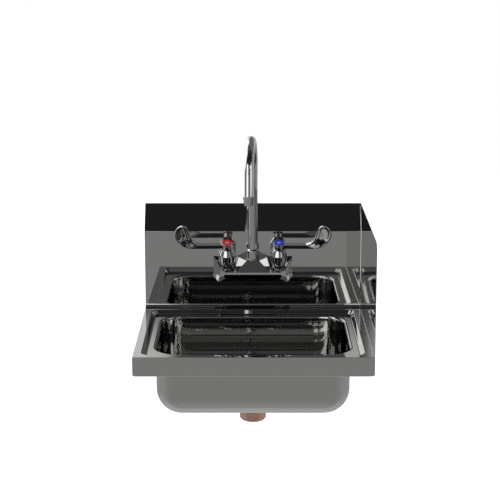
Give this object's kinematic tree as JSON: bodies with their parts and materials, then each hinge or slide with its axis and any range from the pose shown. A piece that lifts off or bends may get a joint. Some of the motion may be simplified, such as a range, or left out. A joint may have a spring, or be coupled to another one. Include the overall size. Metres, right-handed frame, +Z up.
{
  "type": "wall-mounted hand sink",
  "caption": "Wall-hung stainless hand basin with backsplash, right side splash, splash-mounted mixer tap with wrist-blade levers and a swivelling gooseneck spout.",
  "frame": {"origin": "centre of the wall bracket's four screw holes, on the wall plane", "axes": "+X to the right of a person using the basin, +Y into the wall, +Z up"},
  "size_m": [0.433, 0.3865, 0.5358],
  "materials": {
    "stainless": "fine satin, close to polished",
    "chrome": "polished chrome plate",
    "brass": "machined",
    "copper_brass": "satin, copper coloured",
    "rubber": "matt",
    "zinc": "zinc plated",
    "screen_plastic": "moulded",
    "red_ring": "gloss",
    "blue_ring": "gloss"
  },
  "bodies": {
    "basin": {"deck_left": "stainless", "deck_right": "stainless", "deck_front": "stainless", "deck_rear": "stainless", "bowl_left": "stainless", "bowl_right": "stainless", "bowl_front": "stainless", "bowl_rear": "stainless", "bowl_floor": "stainless", "backsplash": "stainless", "left_end_cap": "stainless", "side_splash": "stainless", "wall_bracket": "stainless", "drain_strainer": "stainless", "strainer_screw": "stainless", "drain_washer": "stainless", "drain_flange": "chrome", "tap_body": "chrome", "hot_bonnet": "chrome", "cold_bonnet": "chrome", "spout_nut": "chrome", "hot_shank": "brass", "cold_shank": "brass", "hot_locknut": "brass", "cold_locknut": "brass", "hot_cartridge": "brass", "cold_cartridge": "brass", "spout_base_ring": "brass", "drain_locknut": "copper_brass", "drain_coupling_nut": "copper_brass", "drain_gasket": "rubber", "tap_gasket": "rubber", "hot_shank_washer": "zinc", "cold_shank_washer": "zinc"},
    "hot_lever": {"hot_handle": "chrome", "hot_stem": "brass", "hot_index_ring": "red_ring", "hot_handle_screw": "chrome"},
    "cold_lever": {"cold_handle": "chrome", "cold_stem": "brass", "cold_index_ring": "blue_ring", "cold_handle_screw": "chrome"},
    "spout": {"gooseneck": "chrome", "aerator_shell": "chrome", "aerator_screen": "screen_plastic", "aerator_washer": "rubber"}
  },
  "joints": [
    {"name": "hot_lever_turn", "type": "hinge", "parent": "basin", "child": "hot_lever", "pos_m": [-0.0508, -0.0835, -0.02732], "axis": [0, -0.3987, 0.9171], "range_deg": [0, 90]},
    {"name": "cold_lever_turn", "type": "hinge", "parent": "basin", "child": "cold_lever", "pos_m": [0.0508, -0.0835, -0.02732], "axis": [0, -0.3987, 0.9171], "range_deg": [-90, 0]},
    {"name": "spout_swivel", "type": "hinge", "parent": "basin", "child": "spout", "pos_m": [0, -0.0635, -0.0589], "axis": [0, 0, 1], "range_deg": [-86.1, 93.9]}
  ]
}
